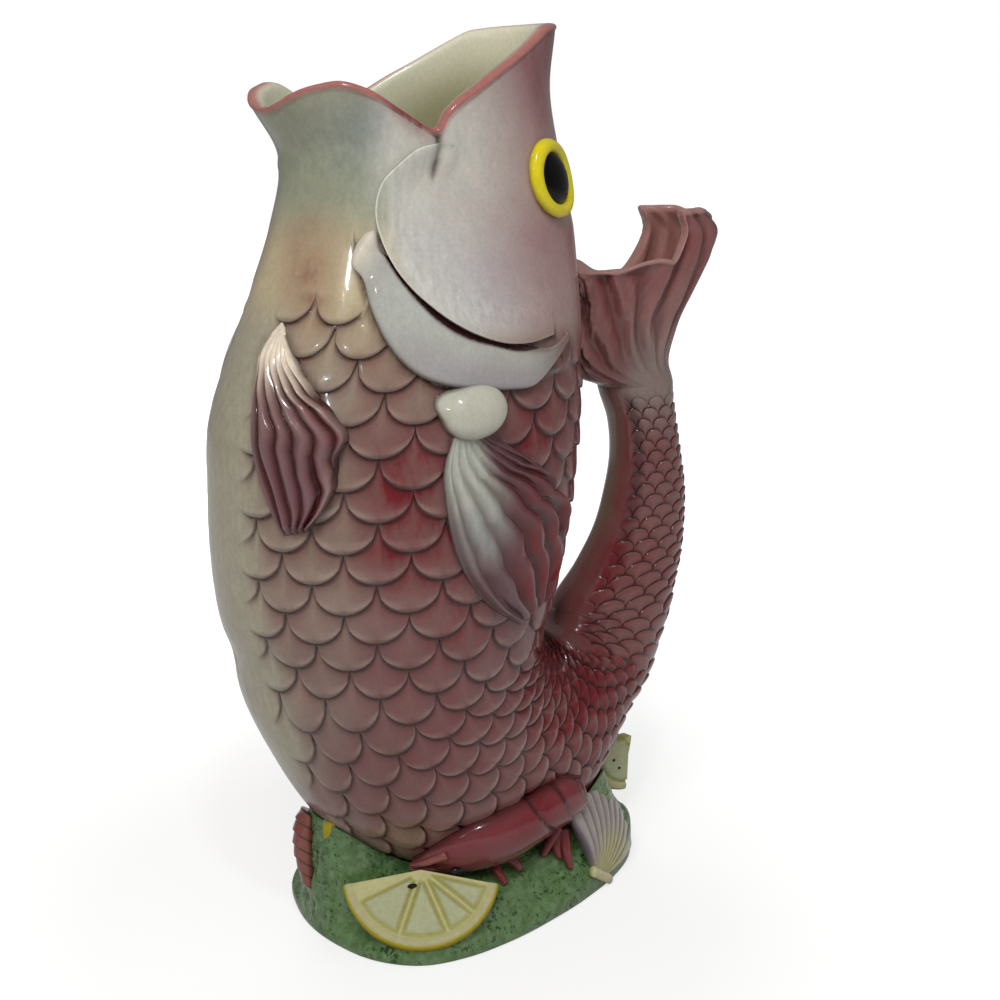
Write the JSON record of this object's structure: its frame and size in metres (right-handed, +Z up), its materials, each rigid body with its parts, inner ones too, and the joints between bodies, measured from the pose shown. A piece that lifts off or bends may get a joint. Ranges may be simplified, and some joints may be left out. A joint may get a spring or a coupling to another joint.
{
  "type": "fish pitcher",
  "caption": "Upright fish-shaped pitcher: open mouth as spout, curled tail as handle, luted fins, gills and eyes, on a mound with lemon slices, prawns and a scallop.",
  "frame": {"origin": "on the flat foot, under the middle of the body", "axes": "+Z up through the open mouth, belly towards -X, handle towards +X, the fish's left flank towards -Y"},
  "size_m": [0.2215, 0.124, 0.334],
  "materials": {
    "body_glaze": "glossy",
    "handle_glaze": "glossy",
    "tail_glaze": "glossy",
    "head_glaze": "glossy",
    "cream_glaze": "glossy",
    "fin_glaze": "glossy",
    "eye_yellow_glaze": "glossy",
    "pupil_black_glaze": "glossy",
    "moss_green_glaze": "glossy",
    "lemon_glaze": "glossy",
    "shell_glaze": "glossy",
    "prawn_glaze": "glossy"
  },
  "bodies": {
    "root": {"fish_body": "body_glaze", "tail_handle": "handle_glaze", "tail_fin": "tail_glaze", "gill_cover_left": "head_glaze", "gill_cover_right": "head_glaze", "gill_band_left": "head_glaze", "gill_band_right": "head_glaze", "fin_root_left": "cream_glaze", "fin_root_right": "cream_glaze", "pectoral_fin_left": "fin_glaze", "pectoral_fin_right": "fin_glaze", "pelvic_fin_left": "fin_glaze", "pelvic_fin_right": "fin_glaze", "eye_ring_left": "eye_yellow_glaze", "eye_ring_right": "eye_yellow_glaze", "pupil_left": "pupil_black_glaze", "pupil_right": "pupil_black_glaze", "base_mound": "moss_green_glaze", "lemon_slice_near": "lemon_glaze", "lemon_slice_far": "lemon_glaze", "lemon_wedge_tail": "lemon_glaze", "scallop_shell": "shell_glaze", "prawn_near": "prawn_glaze", "prawn_far": "prawn_glaze"}
  },
  "joints": []
}
